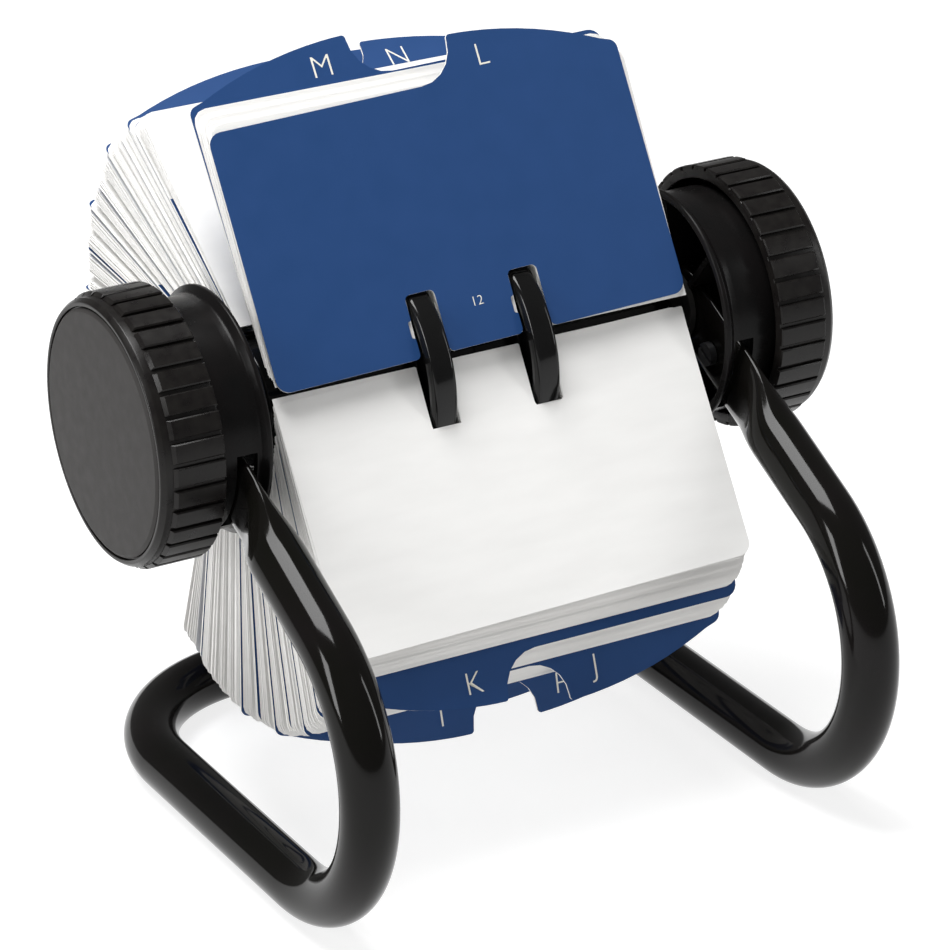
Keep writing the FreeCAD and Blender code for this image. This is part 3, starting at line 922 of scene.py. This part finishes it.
# %% Where each card sits
back_off = times(minus(1.0, even), (source, "First gap"))
uneven = times(chance(-0.00035, 0.00025, number, 3), disorder)
slid = most(times(minus(1.0, ledge_middle), (source, "Slid in")), 0.0)
stepped = times(chance(0.0, 1.0, ledge, seed), (source, "Step"))
outward = plus(minus(minus(uneven, slid), stepped), (source, "Proud"))
y, z = times(cosine(angle), radius), times(sine(angle), radius)
out_y, out_z = times(cosine(heading), outward), times(sine(heading), outward)
gap_y, gap_z = times(sine(heading), back_off), times(cosine(heading), back_off)
sideways = times(chance(-0.00030, 0.00030, number, 5), disorder)
spot = put(fan_tree, "ShaderNodeCombineXYZ", X=sideways, Y=minus(gap_y, plus(y, out_y)),
           Z=plus(plus(z, gap_z), out_z))
points = put(fan_tree, "GeometryNodePoints", Count=how_many,
             Position=vector(fan_tree, "ADD", spot, (source, "Centre")))
print("fan tree:", len(fan_tree.nodes), "nodes so far")

# %% [markdown]
# A card is set on each point, turned to its heading and leaning very slightly to one side. It is
# given its "shade". The cards are still copies of one sheet here, so they are made real, and then
# each face gets its finish by the slot it came with.

# %% Stand a card on each point and give it its finish
lean = times(chance(-0.0035, 0.0035, number, 11), disorder)
turned, leaning = (put(fan_tree, "FunctionNodeEulerToRotation",
                       Euler=put(fan_tree, "ShaderNodeCombineXYZ", **{axis: value}))
                   for axis, value in (("X", minus(math.pi, heading)), ("Z", lean)))
combined = put(fan_tree, "FunctionNodeRotateRotation", {"rotation_space": "LOCAL"},
               Rotation=turned, n1=leaning)
one = put(fan_tree, "GeometryNodeObjectInfo", Object=(source, "Card"))
cards = put(fan_tree, "GeometryNodeInstanceOnPoints", Points=points, Instance=(one, "Geometry"),
            Rotation=combined)
toned = put(fan_tree, "GeometryNodeStoreNamedAttribute",
            {"data_type": "FLOAT", "domain": "INSTANCE"}, Geometry=cards, Name="shade",
            Value=chance(0.0, 1.0, number, 23))
finished = put(fan_tree, "GeometryNodeRealizeInstances", Geometry=toned)
slot_number = put(fan_tree, "GeometryNodeInputMaterialIndex")
for index, label in enumerate(("Face finish", "Edge finish")):
    chosen = put(fan_tree, "FunctionNodeCompare", {"data_type": "INT", "operation": "EQUAL"},
                 n2=slot_number, n3=index)
    finished = put(fan_tree, "GeometryNodeSetMaterial", Geometry=finished, Selection=chosen,
                   Material=(source, label))
fan_tree.links.new(finished.outputs[0], result.inputs[0])
print("fan tree:", len(fan_tree.nodes), "nodes")

# %% [markdown]
# The card in the fan is the plain leaf again, with fewer points round its corners and no notches,
# which can't be seen between other cards.

# %% The card that is fanned
CARD_T = 0.18


def simple_card():
    h, a = CARD_W / 2, SLOT_HALF
    slots = [(centre + x, y, 0) for centre in (RAIL_X, -RAIL_X)
             for x, y in ((a, 0), (a, SLOT_DEPTH), (-a, SLOT_DEPTH), (-a, 0))]
    return rounded([(h, 0, 0), *slots, (-h, 0, 0), (-h, CARD_H, 3), (h, CARD_H, 3)], 3)


card = sheet_mesh("one card", simple_card(), CARD_T, card_white, card_edge)
print("faces in one card:", len(card.data.polygons))

# %% [markdown]
# How many cards fit is a matter of thickness: the room between two guides, measured round the
# rails, divided by the thickness of a card and the air that it brings with it. Two packs stay open
# for part of their room, as a used file does, and their cards begin further along.

# %% Twelve double packs
CARD_AND_AIR, FEWEST = 0.27, 8
AIR_AFTER = {"m": 0.8, "c": 0.65}
SLID_IN = {"k": 1.5}
UNEVEN_PACKS, PROUD_PACKS = "jk", "nopqrsdefghi"
sequence = ORDER + ["front"]


def fan_pack(i):
    """Fan one pack from a leaf to the next one. Gives the pack and its number of cards."""
    leaf = sequence[i]
    (a0, r0, h0), (a1, r1, h1) = polar(places[leaf]), polar(places[sequence[i + 1]])
    a1 += 360 if a1 < a0 else 0
    h1 += 360 if h1 < h0 - 180 else 0
    begin = AIR_AFTER.get(leaf, 0.0)
    a0, r0, h0 = (p + (q - p) * begin for p, q in ((a0, a1), (r0, r1), (h0, h1)))
    room = math.radians(a1 - a0) * (r0 + r1) / 2
    count = max(FEWEST, int(room / CARD_AND_AIR))
    pack = grow("pack", make_mesh("blank", [], []), fan_tree, {
        "Card": card, "Cards": count, "Centre": AXLE, "Seed": 100 + i,
        "Face finish": card_white, "Edge finish": card_edge,
        "First angle": math.radians(a0), "Last angle": math.radians(a1),
        "First radius": r0 * MM, "Last radius": r1 * MM,
        "First heading": math.radians(h0), "Last heading": math.radians(h1),
        "First gap": 0.4 * MM, "Slid in": SLID_IN.get(leaf, 0.0) * MM,
        "Step": (1.0 if leaf in UNEVEN_PACKS else 0.35) * MM,
        "Proud": (0.9 if leaf in PROUD_PACKS else 0.0) * MM})
    return pack, count


total = 0
for k in range(0, len(ORDER), 2):
    halves = []
    for i in (k, k + 1):
        pack, count = fan_pack(i)
        halves.append(pack)
        total += count
    name = "cards_%s_%s" % (sequence[k], sequence[k + 1])
    pack = join(halves)
    pack.name = "pack_" + name
    soften(pack, 30)
    finish_piece(pack, "wheel", "card_white", name)
bpy.data.objects.remove(card)
print("cards in the wheel:", total)

# %% [markdown]
# ## The pieces inside
# The axle, bushes, spacers, screws and the ball clutch come straight from the engineering parts.
# They hardly show, but they get real surfaces too: zinc on the steel and black nylon on the bushes.

# %% Surfaces for the carried-over parts
inside = {"axle": steel, "frame_screws": dark_steel, "knob_screws": steel, "clutch_plate": steel,
          "clutch_spring": steel, "clutch_balls": bright_ball, "clutch_cage": nylon,
          "bush_left": black_nylon, "bush_right": black_nylon, "spacer_left": hub_plastic,
          "spacer_right": hub_plastic}
for node_name, material in inside.items():
    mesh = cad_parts[node_name].data
    mesh.materials.clear()
    mesh.materials.append(material)
print("carried over:", ", ".join(sorted(inside)))

# %% [markdown]
# ## The table and the light
# The file stands on a plain pale surface that glows a little, so that it stays white in shadow.

# %% Floor
FLOOR_HALF, FLOOR_DROP = 6, 0.0001
floor_finish = surface("pale floor", (0.34, 0.34, 0.34), (0.36, 0.36, 0.36), (0.7, 0.8), 3.0, 0.01,
                       Emission_Color=(1, 1, 1, 1), Emission_Strength=0.80,
                       Specular_IOR_Level=0.1)
corners = [(x * FLOOR_HALF, y * FLOOR_HALF, 0) for x, y in ((-1, -1), (1, -1), (1, 1), (-1, 1))]
floor = make_mesh("floor", corners, [(0, 1, 2, 3)], floor_finish)
floor.data.transform(Matrix.Translation((0, 0, -FLOOR_DROP)))
print("floor is", 2 * FLOOR_HALF, "m wide")

# %% [markdown]
# A large soft light hangs overhead, slightly to the left and behind. A tall soft light stands at
# the left side, and a weaker one at the right front. Gloss black shows little but what it
# reflects, so the tall lights are there to draw long clean lines on the tube.

# %% Lights
AMBIENT = 0.16
world = bpy.data.worlds.new("studio")
bpy.context.scene.world = world
world.use_nodes = True
world.node_tree.nodes["Background"].inputs["Color"].default_value = (1.0, 1.0, 1.0, 1)
world.node_tree.nodes["Background"].inputs["Strength"].default_value = AMBIENT


def soft_light(name, place, aim, width, height, power):
    data = bpy.data.lights.new(name, "AREA")
    data.shape, data.size, data.size_y, data.energy = "RECTANGLE", width, height, power
    lamp = bpy.data.objects.new(name, data)
    lamp.location = place
    lamp.rotation_euler = (Vector(aim) - Vector(place)).to_track_quat("-Z", "Y").to_euler()
    link(lamp)


soft_light("overhead", (-0.22, 0.12, 1.20), (-0.05, 0, 0.08), 0.64, 0.70, 19)
soft_light("left tall", (-1.25, -0.10, 0.52), (0, 0, 0.08), 0.24, 0.70, 7.0)
soft_light("right tall", (1.05, -0.75, 0.60), (0, 0, 0.08), 0.14, 0.80, 3)

# %% [markdown]
# ## The camera
# A long lens from a metre away keeps the card file's sides nearly parallel. The camera stands to
# the left of the front and looks down a little, with a very slight tilt.

# %% Camera
AZIMUTH, ELEVATION, TILT = math.radians(-28.83), math.radians(23.71), math.radians(-1.03)
FROM_AIM, AIM_OFFSET = 1.0147, Vector((6.85, 0, -30.16))
away = Vector((math.sin(AZIMUTH) * math.cos(ELEVATION), -math.cos(AZIMUTH) * math.cos(ELEVATION),
               math.sin(ELEVATION)))
right = Vector((math.cos(AZIMUTH), math.sin(AZIMUTH), 0))
above = away.cross(right)
tilted_right = right * math.cos(TILT) + above * math.sin(TILT)
tilted_above = -right * math.sin(TILT) + above * math.cos(TILT)
lens = bpy.data.cameras.new("camera")
lens.lens, lens.sensor_width = 172.0, 36.0
lens.clip_start, lens.clip_end = 0.05, 50
camera = link(bpy.data.objects.new("camera", lens))
aim = AXLE + AIM_OFFSET * MM
pose = Matrix((tilted_right, tilted_above, away)).transposed().to_4x4()
camera.matrix_world = Matrix.Translation(aim + away * FROM_AIM) @ pose
bpy.context.scene.camera = camera
bpy.context.scene.view_settings.view_transform = "Standard"
print("camera is", round((camera.location - AXLE).length, 3), "m from the axle")
